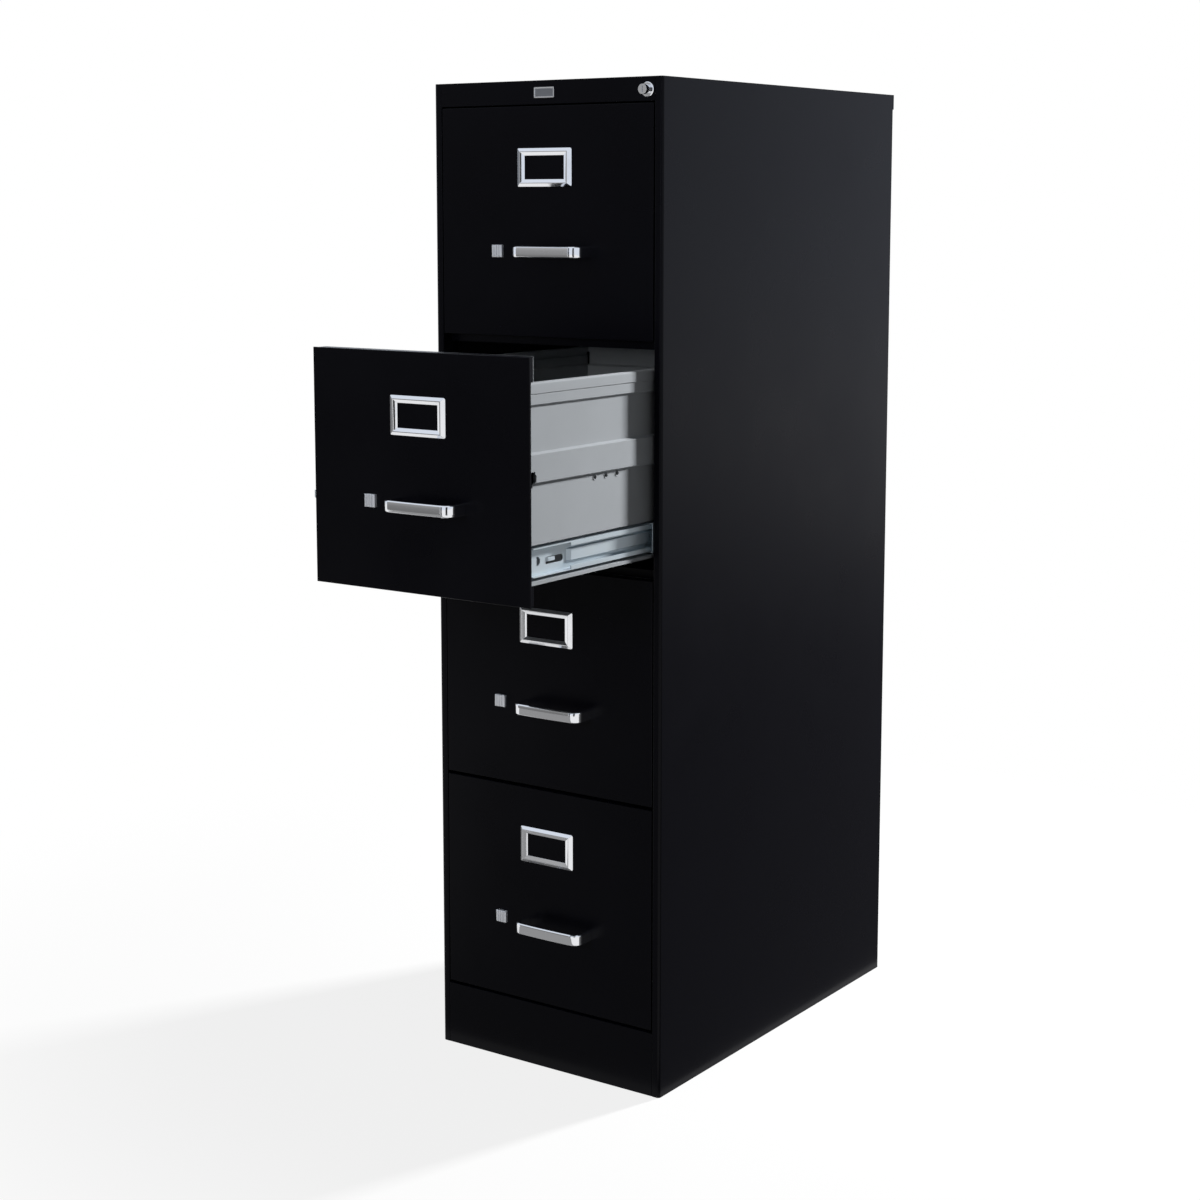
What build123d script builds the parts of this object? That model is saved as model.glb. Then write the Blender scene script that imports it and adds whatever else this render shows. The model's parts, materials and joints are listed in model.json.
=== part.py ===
from build123d import *
import math
import os

os.makedirs("parts", exist_ok=True)

# A four-drawer vertical filing cabinet in sheet steel, second drawer open.
# Millimetres. X runs to the cabinet's right, Y to its back, Z up. The origin is on the floor,
# at the middle of the case's footprint.

# Case
case_width = 362.0
case_depth = 612.0
case_height = 1321.0
case_sheet = 0.9
case_corner = 4.0  # outer bend radius between a side panel and its stile
stile_corner = 1.2
stile_width = 11.5
stile_return = 18.0
rear_flange = 15.0
header_height = 30.0
header_flange = 25.0
top_flange = 14.0
top_lip_height = 21.0
top_lip_thickness = 2.2  # the cap's rear edge is hemmed double and stands proud of the back
back_flange = 12.0
base_height = 88.0
base_sheet = 1.2
base_gap = 2.0  # between the kick plate's top and the lowest drawer's space
base_bottom_flange = 16.0
base_top_flange = 14.0
panel_gap = 0.1  # between sheets that are welded side by side
cut_over = 1.0  # how far a cutting form runs past what it cuts

# Drawer fronts
drawer_count = 4
drawer_gap = 4.5  # between one front and the next
drawer_side_gap = 1.5  # between a front and the stiles
front_sheet = 0.9
front_hem = 3.0  # depth of the edge that shows
front_flange = 16.0  # depth of the folded pan
open_drawer = 2
open_distance = 260.0

# Drawer bodies, heights above the front's lower edge
drawer_sheet = 0.9
body_bottom = 25.5
body_headroom = 30.0  # from the body's top to the front's upper edge
body_front_gap = 0.2  # between the body's front edges and the front's hem
body_back_gap = 23.0  # between the drawer's back and the cabinet's back panel
body_side_gap = 2.7  # between the pressed band and the stiles
band_depth = 4.5
band_drop = 120.5  # band's lower edge below the body's top
band_height = 38.0
band_slope = 2.5
rim_height = 28.5
rim_width = 9.8
rim_lip = 8.0
rim_radius = 3.0
rim_hem = 14.0  # height of the part of the rim that is folded double
rim_step = 0.9
end_flange = 10.0
end_gap = 0.05  # between the end walls and the sheet around them

# Notch that the lock's lug stands in, and the frame holes behind it
notch_drop = 4.5  # below the band's lower edge
notch_height = 20.0
notch_back = 12.5  # behind the front's face
hole_count = 3
hole_size = 4.0
hole_first = 140.0
hole_spacing = 24.0
hole_drop = 4.0  # below the pressed band

# Telescoping slides
slide_height = 51.25  # axis above the front's lower edge
slide_sheet = 1.2
slide_run = 0.3  # running gap between members
drawer_slide_half = 17.5
drawer_slide_depth = 10.5
drawer_slide_curl = 5.5
drawer_slide_start = 14.0  # behind the front's face
drawer_slide_plain = 60.0  # front stretch without the curled edges
middle_slide_web_gap = 3.1  # between the drawer member's edges and the middle member's web
middle_slide_flange = 11.8
middle_slide_start = 132.0
middle_slide_end_gap = 7.0  # short of the drawer's back
case_slide_flange = 16.0
case_slide_start = 20.0
case_slide_end_gap = 2.0  # the fixed members end this far behind the drawers' backs
recess_depth = 14.8  # how far the drawer's side steps in for the slides
recess_above = 22.0
recess_below = 21.75
ledge_width = 12.0
front_slot = (4.0, 13.0)
front_slot_back = 4.0
long_slot = (28.0, 7.0)
long_slot_back = 37.0
long_slot_rise = 3.0
slot_clearance = 0.5  # of the drawer's side round the slots in its slides

# Slide posts
post_depth = 6.1
post_width = 30.0
post_sheet = 1.2
front_post_back = 40.0  # behind the case's front
rear_post_gap = 40.0  # ahead of the case's back

# Cross rails
rail_half = 9.0
rail_depth = 27.0

# Handle
handle_length = 106.0
handle_height = 15.0
handle_reach = 35.0
handle_thickness = 5.0
handle_corner = 13.0
handle_edge = 1.3
handle_rise = 110.5  # axis above the front's lower edge
handle_offset = 20.0

# Thumb latch and its bolt
latch_offset = -75.0
latch_head = (16.0, 16.0)
latch_head_depth = 5.0
latch_head_gap = 0.3
latch_edge = 0.8
latch_neck = (5.0, 8.0)
latch_neck_offset = -4.0  # from the head's middle, so that the head covers the slot
latch_travel = 7.0
latch_slot_gap = 0.4
latch_groove = 0.9
latch_bar_front = 6.0  # behind the front's face
latch_bar_sheet = 2.0
latch_bar_half = 5.0
latch_bar_right = 8.0  # past the button's axis
latch_nose = 5.5  # reach past the stile's face
latch_hole_gap = 0.6
spring_sheet = 0.5
spring_foot = 9.0
spring_half = 3.5
spring_reach = 20.0
spring_gap = 0.1

# Label holder
label_size = (86.0, 49.0)
label_ridge = (74.5, 40.0)  # crest of the frame, between its outer and inner slopes
label_ridge_half = 0.5
label_window = (62.5, 30.5)
label_depth = 4.0
label_rim = 1.0  # depth at the outer edge
label_lip = 1.4  # depth at the window's edge
label_corner = 2.5
label_drop = 78.0  # centre below the front's upper edge
card_pocket = (72.0, 37.0)
card_pocket_depth = 0.8

# Nameplate
plate_size = (31.6, 13.4)
plate_depth = 1.6
plate_border = 1.4
plate_recess = 0.6
plate_drop = 15.5  # centre below the case's top

# Lock
lock_inset = 22.0  # axis from the case's right side
lock_drop = 16.2  # axis below the case's top
lock_travel = 9.0
bezel_radius = 9.4
bezel_depth = 2.5
barrel_radius = 8.4
barrel_length = 24.0
barrel_gap = 0.2
plunger_radius = 6.2
plunger_gap = 0.06
plunger_stand = 1.5  # how far it stands out of the bezel when pushed in
plunger_body = 18.0
tail_size = (5.0, 10.0)
tail_back = 4.8  # past the cross pin's axis
keyway = (1.6, 8.0)
keyway_depth = 3.0
crank_swing = 36.8  # degrees
crank_sheet = 2.0
crank_hub = 5.5
crank_arm_width = 7.0
crank_pin = 2.5
crank_pin_gap = 0.05
cross_pin = 2.0
cross_pin_gap = 0.2
ear_thickness = 1.5
ear_web_start = 19.0  # behind the case's front
ear_web = 2.5
ear_gap = 1.8  # between ear and crank
bar_lift = 14.0
bar_thickness = 3.0
bar_depth = 10.0
bar_run = 0.3
bar_front = 4.0  # behind the case's front
bar_head = 8.0  # above the crank's pin
lug_height = 9.0
lug_front = 7.0
lug_depth = 4.0
lug_below = 2.0  # lug's top below the pressed band when unlocked
lug_gap = 0.3  # between a lug's tip and the drawer's pressed band
strike_out = 1.8  # how far a drawer's strike stands out of the band
lug_slot_gap = 1.0

# Derived places
front_y = -case_depth / 2
back_y = case_depth / 2
half_width = case_width / 2
side_inner = half_width - case_sheet
stile_inner = half_width - stile_width
header_low = case_height - header_height
drawer_pitch = (header_low - base_height) / drawer_count
front_height = drawer_pitch - drawer_gap
front_half_width = stile_inner - drawer_side_gap
body_half_width = stile_inner - body_side_gap  # over the pressed band and the rim
flat_half_width = body_half_width - band_depth
recess_half_width = body_half_width - recess_depth
post_face = side_inner - post_depth
body_front = front_hem + body_front_gap
body_back = case_depth - body_back_gap
body_top = front_height - body_headroom
band_low = body_top - band_drop
band_high = band_low + band_height
rim_low = body_top - rim_height
notch_middle = band_low - notch_drop + notch_height / 2
rear_post_back = case_depth - rear_post_gap - post_width
middle_slide_length = body_back - middle_slide_end_gap - middle_slide_start
rear_sheets = 2 * case_sheet + panel_gap
drawers = range(1, drawer_count + 1)


def front_bottom(n):
    """Height of the lower edge of drawer n's front, counted from the top drawer down."""
    return base_height + (drawer_count - n) * drawer_pitch + drawer_gap / 2


def open_at_rest(n):
    return open_distance if n == open_drawer else 0.0


def drawer_face(n):
    """Y of drawer n's front face as it stands."""
    return front_y - open_at_rest(n)


def across(y):
    """Section plane across the cabinet; an extrusion by a negative amount runs to the back."""
    return Plane.XZ.offset(-y)


def folded(points, thickness, radius=0.0, side=Side.RIGHT):
    """Section of folded sheet: a line and its parallel one thickness away."""
    with BuildLine() as fold:
        FilletPolyline(*points, radius=radius)
        offset(amount=thickness, side=side, kind=Kind.INTERSECTION)
    make_face(fold.edges())


def beside(points, distance):
    """The open line that runs to the left of another one at an even distance."""
    normals = []
    for (x0, z0), (x1, z1) in zip(points, points[1:]):
        run = math.hypot(x1 - x0, z1 - z0)
        normals.append(((z0 - z1) / run, (x1 - x0) / run))
    moved = []
    for k, (x, z) in enumerate(points):
        ax, az = normals[max(k - 1, 0)]
        bx, bz = normals[min(k, len(normals) - 1)]
        reach = distance / (1 + ax * bx + az * bz)
        moved.append((x + reach * (ax + bx), z + reach * (az + bz)))
    return moved


def taper(wide, narrow, wide_y, narrow_y, z, mode=Mode.ADD):
    """Flat-sided form between a wide and a narrow rectangle that both face the cabinet's front."""
    (a, b), (c, d) = wide, narrow
    turn = 180 if narrow_y < wide_y else 0
    with Locations(Location((0, wide_y, z), (0, 0, turn))):
        Wedge(
            a, abs(narrow_y - wide_y), b, (a - c) / 2, (b - d) / 2, (a + c) / 2, (b + d) / 2,
            align=(Align.CENTER, Align.MIN, Align.CENTER), mode=mode,
        )


def save(part, name):
    part.label = name
    export_step(part, f"parts/{name}.step")


# Side panels: rear flange, side, front stile and its return, from one sheet
lug_top = band_low - lug_below
lug_low = lug_top - lug_height

side_profile = [
    (half_width - rear_flange, back_y - case_sheet - panel_gap / 2),
    (half_width, back_y - case_sheet - panel_gap / 2),
    (half_width, front_y),
    (stile_inner, front_y),
    (stile_inner, front_y + stile_return),
]
side_height = case_height - case_sheet

with BuildPart() as side_panel_right:
    with BuildSketch(Plane.XY):
        folded(side_profile, case_sheet, radius=[0, case_corner, stile_corner])
    extrude(amount=side_height)
    # Slots in the stile's return for the lock's lugs
    for n in drawers:
        low = front_bottom(n) + lug_low - lug_slot_gap
        high = front_bottom(n) + lug_top + bar_lift + lug_slot_gap
        with BuildSketch(Plane.YZ.offset(stile_inner - cut_over)):
            with Locations((front_y + lug_front + lug_depth / 2, (low + high) / 2)):
                Rectangle(lug_depth + 2 * lug_slot_gap, high - low)
        extrude(amount=case_sheet + 2 * cut_over, mode=Mode.SUBTRACT)
save(side_panel_right.part, "side_panel_right")

with BuildPart() as side_panel_left:
    with BuildSketch(Plane.XY):
        folded(side_profile, case_sheet, radius=[0, case_corner, stile_corner])
        mirror(about=Plane.YZ, mode=Mode.REPLACE)
    extrude(amount=side_height)
    # Slots in the stile's return for the noses of the latch bolts
    for n in drawers:
        with BuildSketch(Plane.YZ.offset(-stile_inner + cut_over)):
            with Locations((
                front_y + latch_bar_front + latch_bar_sheet / 2,
                front_bottom(n) + handle_rise,
            )):
                Rectangle(latch_bar_sheet + 3 * latch_hole_gap, 2 * (latch_bar_half + latch_hole_gap))
        extrude(amount=-(case_sheet + 2 * cut_over), mode=Mode.SUBTRACT)
save(side_panel_left.part, "side_panel_left")

# Back panel: a flat sheet over the rear flanges, folded forward along its top between them
back_fold_half = half_width - rear_flange - panel_gap
with BuildPart() as back_panel:
    with BuildSketch(across(back_y - case_sheet)):
        with Locations((0, side_height / 2)):
            Rectangle(2 * side_inner, side_height)
    extrude(amount=-case_sheet)
    with BuildSketch(across(back_y - rear_sheets - back_flange)):
        with Locations((0, side_height - case_sheet / 2)):
            Rectangle(2 * back_fold_half, case_sheet)
    extrude(amount=-(rear_sheets + back_flange))
save(back_panel.part, "back_panel")

# Top panel: the cap, its side flanges inside the side panels and its double hem behind the back
with BuildPart() as top_panel:
    with BuildSketch(Plane.XY.offset(side_height)) as cap_plan:
        with Locations((0, (front_y + back_y) / 2)):
            Rectangle(case_width, case_depth)
        fillet(cap_plan.vertices().group_by(Axis.Y)[0], case_corner)
        with Locations((0, back_y + top_lip_thickness / 2)):
            Rectangle(case_width, top_lip_thickness)
    extrude(amount=case_sheet)
    with BuildSketch(Plane.XY.offset(side_height)):
        with Locations((0, back_y + top_lip_thickness / 2)):
            Rectangle(case_width, top_lip_thickness)
    extrude(amount=-(top_lip_height - case_sheet))
    with BuildSketch(Plane.XY.offset(side_height)):
        with Locations((side_inner - case_sheet / 2, 0), (-side_inner + case_sheet / 2, 0)):
            Rectangle(case_sheet, case_depth - 2 * front_post_back)
    extrude(amount=-top_flange)
save(top_panel.part, "top_panel")

# Front header: a channel between the stiles, open to the back, with the lock's hole
lock_x = half_width - lock_inset
lock_z = case_height - lock_drop

with BuildPart() as front_header:
    with BuildSketch(Plane.YZ.offset(-stile_inner + panel_gap)):
        folded(
            [
                (front_y + stile_return, header_low),
                (front_y, header_low),
                (front_y, side_height),
                (front_y + header_flange, side_height),
            ],
            case_sheet,
        )
    extrude(amount=2 * (stile_inner - panel_gap))
    with BuildSketch(across(front_y - cut_over)):
        with Locations((lock_x, lock_z)):
            Circle(barrel_radius + barrel_gap)
    extrude(amount=-(case_sheet + 2 * cut_over), mode=Mode.SUBTRACT)
save(front_header.part, "front_header")

# Cross rails: channels behind the gaps between the drawers, from stile to stile
with BuildPart() as cross_rails:
    for n in drawers[:-1]:
        gap_z = front_bottom(n) - drawer_gap / 2
        with BuildSketch(Plane.YZ.offset(-post_face)):
            folded(
                [
                    (front_y + stile_return + rail_depth, gap_z - rail_half),
                    (front_y + stile_return, gap_z - rail_half),
                    (front_y + stile_return, gap_z + rail_half),
                    (front_y + stile_return + rail_depth, gap_z + rail_half),
                ],
                case_sheet,
            )
        extrude(amount=2 * post_face)
save(cross_rails.part, "cross_rails")

# Base frame: the kick plate and its ring, with flanges turned in at the floor and at the top
base_half_width = stile_inner - panel_gap
base_rear = back_y - rear_sheets - panel_gap
base_length = base_rear - front_y
base_middle = (base_rear + front_y) / 2
base_top = base_height - base_gap

with BuildPart() as base_frame:
    with BuildSketch(Plane.XY):
        with Locations((0, base_middle)):
            Rectangle(2 * base_half_width, base_length)
            Rectangle(
                2 * (base_half_width - base_sheet), base_length - 2 * base_sheet, mode=Mode.SUBTRACT
            )
    extrude(amount=base_top)
    for height, width in ((0, base_bottom_flange), (base_top - base_sheet, base_top_flange)):
        with BuildSketch(Plane.XY.offset(height)):
            with Locations((0, base_middle)):
                Rectangle(2 * base_half_width, base_length)
                Rectangle(2 * (base_half_width - width), base_length - 2 * width, mode=Mode.SUBTRACT)
        extrude(amount=base_sheet)
save(base_frame.part, "base_frame")

# Slide posts: channels on the side panels that hold the fixed slide members
for name, distance in (("slide_posts_front", front_post_back), ("slide_posts_rear", rear_post_back)):
    post_low = front_y + distance
    with BuildPart() as slide_posts:
        with BuildSketch(Plane.XY.offset(base_top)):
            folded(
                [
                    (side_inner, post_low),
                    (post_face, post_low),
                    (post_face, post_low + post_width),
                    (side_inner, post_low + post_width),
                ],
                post_sheet,
            )
            mirror(about=Plane.YZ)
        extrude(amount=header_low - base_top)
    save(slide_posts.part, name)


def slide_axis(n):
    return front_bottom(n) + slide_height


def place_channel(web_x, flange, half, sheet, middle):
    """Section of a slide member: a web on a vertical line and two flanges towards the middle."""
    with Locations((web_x - sheet / 2, middle)):
        Rectangle(sheet, 2 * half)
    for sign in (1, -1):
        with Locations((web_x - flange / 2, middle + sign * (half - sheet / 2))):
            Rectangle(flange, sheet)


# Fixed slide members, one per drawer and side
middle_half = drawer_slide_half + slide_run + slide_sheet
case_slide_half = middle_half + slide_run + slide_sheet
case_slide_end = body_back - case_slide_end_gap

for name, sign in (("case_slides_right", 1), ("case_slides_left", -1)):
    with BuildPart() as case_slides:
        with BuildSketch(across(front_y + case_slide_start)):
            for n in drawers:
                place_channel(post_face, case_slide_flange, case_slide_half, slide_sheet, slide_axis(n))
            if sign < 0:
                mirror(about=Plane.YZ, mode=Mode.REPLACE)
        extrude(amount=-(case_slide_end - case_slide_start))
    save(case_slides.part, name)

# Nameplate: a bare plate with a raised border
plate_z = case_height - plate_drop
with BuildPart() as nameplate:
    with BuildSketch(across(front_y)):
        with Locations((0, plate_z)):
            RectangleRounded(*plate_size, radius=plate_border)
    extrude(amount=plate_depth)
    with BuildSketch(across(front_y - plate_depth)):
        with Locations((0, plate_z)):
            Rectangle(plate_size[0] - 2 * plate_border, plate_size[1] - 2 * plate_border)
    extrude(amount=-plate_recess, mode=Mode.SUBTRACT)
save(nameplate.part, "nameplate")

# Lock mechanism. The plunger's cross pin turns a bell crank, and the crank's other pin lifts the
# bar. Both arms swing evenly about square, so each pin hardly leaves its straight line.
half_swing = math.radians(crank_swing / 2)
push_arm = lock_travel / (2 * math.sin(half_swing))
lift_arm = bar_lift / (2 * math.sin(half_swing))
push_rise = push_arm * (1 - math.cos(half_swing))
lift_rise = lift_arm * (1 - math.cos(half_swing))
bar_pin_y = front_y + bar_front + bar_depth / 2
pivot_y = bar_pin_y + lift_arm - lift_rise / 2
pivot_z = lock_z - push_arm + push_rise / 2
cross_pin_y = pivot_y - push_arm * math.sin(half_swing)
cross_pin_z = pivot_z + push_arm * math.cos(half_swing)
bar_pin_z = pivot_z - lift_arm * math.sin(half_swing)
bar_x = stile_inner + case_sheet + bar_run  # the face that runs on the stile's return
bar_outer = bar_x + bar_thickness
crank_x = bar_outer + 2 * bar_run
ear_x = crank_x - ear_gap

# Lock housing: bezel, barrel and the ear with the crank's pin
with BuildPart() as lock_housing:
    with BuildSketch(across(front_y)):
        with Locations((lock_x, lock_z)):
            Circle(bezel_radius)
    extrude(amount=bezel_depth)
    chamfer(lock_housing.faces().sort_by(Axis.Y)[0].edges(), bezel_depth / 3)
    with BuildSketch(across(front_y)):
        with Locations((lock_x, lock_z)):
            Circle(barrel_radius)
    extrude(amount=-barrel_length)
    # Web behind the header, then the ear beside the crank
    web_low = pivot_z - crank_hub
    web_high = lock_z - plunger_radius / 2
    with BuildSketch(across(front_y + ear_web_start)):
        with Locations(((lock_x + ear_x) / 2, (web_low + web_high) / 2)):
            Rectangle(ear_x - lock_x, web_high - web_low)
    extrude(amount=-ear_web)
    ear_back = pivot_y + crank_hub
    ear_high = pivot_z + crank_hub
    with BuildSketch(Plane.YZ.offset(ear_x)):
        with Locations(((front_y + ear_web_start + ear_back) / 2, (web_low + ear_high) / 2)):
            Rectangle(ear_back - front_y - ear_web_start, ear_high - web_low)
    extrude(amount=-ear_thickness)
    with BuildSketch(Plane.YZ.offset(ear_x)):
        with Locations((pivot_y, pivot_z)):
            Circle(crank_pin)
    extrude(amount=ear_gap + crank_sheet + bar_run)
    # Bore for the plunger, right through
    with BuildSketch(across(front_y - bezel_depth - cut_over)):
        with Locations((lock_x, lock_z)):
            Circle(plunger_radius + plunger_gap)
    extrude(amount=-(bezel_depth + barrel_length + 2 * cut_over), mode=Mode.SUBTRACT)
save(lock_housing.part, "lock_housing")

# Lock plunger: round body with a keyway, and a flat tail that holds the crank's cross pin
plunger_front = front_y - bezel_depth - plunger_stand - lock_travel
tail_start = plunger_front + plunger_body
with BuildPart() as lock_plunger:
    with BuildSketch(across(plunger_front)):
        with Locations((lock_x, lock_z)):
            Circle(plunger_radius)
    extrude(amount=-plunger_body)
    with BuildSketch(across(tail_start)):
        with Locations((lock_x, lock_z)):
            Rectangle(*tail_size)
    extrude(amount=-(cross_pin_y + tail_back - tail_start))
    with BuildSketch(across(plunger_front)):
        with Locations((lock_x, lock_z)):
            Rectangle(*keyway)
    extrude(amount=-keyway_depth, mode=Mode.SUBTRACT)
    with BuildSketch(Plane.YZ.offset(lock_x - tail_size[0])):
        with Locations((cross_pin_y, lock_z)):
            Rectangle(2 * (cross_pin + cross_pin_gap), push_rise + 2 * (cross_pin + cross_pin_gap))
    extrude(amount=2 * tail_size[0], mode=Mode.SUBTRACT)
save(lock_plunger.part, "lock_plunger")

# Bell crank: hub, two arms and a pin at the end of each
with BuildPart() as lock_crank:
    with BuildSketch(Plane.YZ.offset(crank_x)):
        with Locations((pivot_y, pivot_z)):
            Circle(crank_hub)
        for y, z in ((cross_pin_y, cross_pin_z), (bar_pin_y + lift_rise / 2, bar_pin_z)):
            ends = [Edge.make_circle(crank_arm_width / 2, Plane((a, b, 0)))
                    for a, b in ((pivot_y, pivot_z), (y, z))]
            make_hull(ends)
    extrude(amount=crank_sheet)
    with BuildSketch(Plane.YZ.offset(crank_x)):
        with Locations((cross_pin_y, cross_pin_z)):
            Circle(cross_pin)
    extrude(amount=-(crank_x - lock_x + tail_size[0]))
    with BuildSketch(Plane.YZ.offset(crank_x)):
        with Locations((bar_pin_y + lift_rise / 2, bar_pin_z)):
            Circle(cross_pin)
    extrude(amount=-(crank_x - bar_x + bar_run / 2))
    with BuildSketch(Plane.YZ.offset(crank_x)):
        with Locations((pivot_y, pivot_z)):
            Circle(crank_pin + crank_pin_gap)
    extrude(amount=crank_sheet, mode=Mode.SUBTRACT)
save(lock_crank.part, "lock_crank")

# Lock bar: an upright in the right stile, notched for the crank's pin, with a lug per drawer
bar_low = front_bottom(drawer_count) + lug_low
bar_high = bar_pin_z + bar_head
lug_tip = body_half_width + lug_gap
with BuildPart() as lock_bar:
    with BuildSketch(Plane.YZ.offset(bar_x)):
        with Locations((bar_pin_y, (bar_low + bar_high) / 2)):
            Rectangle(bar_depth, bar_high - bar_low)
    extrude(amount=bar_thickness)
    lug_y = front_y + lug_front + lug_depth / 2
    for n in drawers:
        with BuildSketch(Plane.YZ.offset(lug_tip)):
            with Locations((lug_y, front_bottom(n) + lug_low + lug_height / 2)):
                Rectangle(lug_depth, lug_height)
        extrude(amount=bar_outer - lug_tip)
    notch_reach = bar_depth / 2 + lift_rise / 2 + cross_pin + cross_pin_gap
    notch_y = bar_pin_y + bar_depth / 2 - notch_reach / 2
    with BuildSketch(Plane.YZ.offset(bar_x)):
        with Locations((notch_y, bar_pin_z)):
            Rectangle(notch_reach, 2 * (cross_pin + cross_pin_gap))
    extrude(amount=bar_thickness, mode=Mode.SUBTRACT)
save(lock_bar.part, "lock_bar")


def body_outline(low):
    """Half of a drawer body's outer section, from the middle of its bottom to the rim's lip."""
    ledge = recess_half_width + ledge_width
    axis = low + slide_height
    rim_inner = body_half_width - rim_width
    top = low + body_top
    return [
        (ledge, low + body_bottom),
        (ledge, axis - recess_below),
        (recess_half_width, axis - recess_below),
        (recess_half_width, axis + recess_above),
        (flat_half_width, axis + recess_above),
        (flat_half_width, low + band_low),
        (body_half_width, low + band_low + band_slope),
        (body_half_width, low + band_high - band_slope),
        (flat_half_width, low + band_high),
        (flat_half_width, low + rim_low),
        (body_half_width - rim_step, low + rim_low + band_slope),
        (body_half_width - rim_step, top - rim_hem),
        (body_half_width, top - rim_hem + rim_step),
        (body_half_width, top),
        (rim_inner, top),
        (rim_inner, top - rim_lip),
    ]


def end_outline(low):
    """Half of an end wall's outline inside the folded body, up to the rim's lip."""
    near = recess_half_width - drawer_sheet - end_gap
    far = flat_half_width - drawer_sheet - end_gap
    step = low + slide_height + recess_above + drawer_sheet + end_gap
    shoulder = low + body_top - rim_lip - end_gap
    return [
        (near, low + body_bottom + drawer_sheet + end_gap),
        (near, step),
        (far, step),
        (far, shoulder),
        (body_half_width - rim_width - end_gap, shoulder),
    ]


def both_halves(half):
    return half + [(-x, z) for x, z in reversed(half)]


latch_neck_x = latch_offset + latch_neck_offset
bar_nose_x = -(stile_inner + latch_nose)
bar_right_x = latch_offset + latch_bar_right

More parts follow.
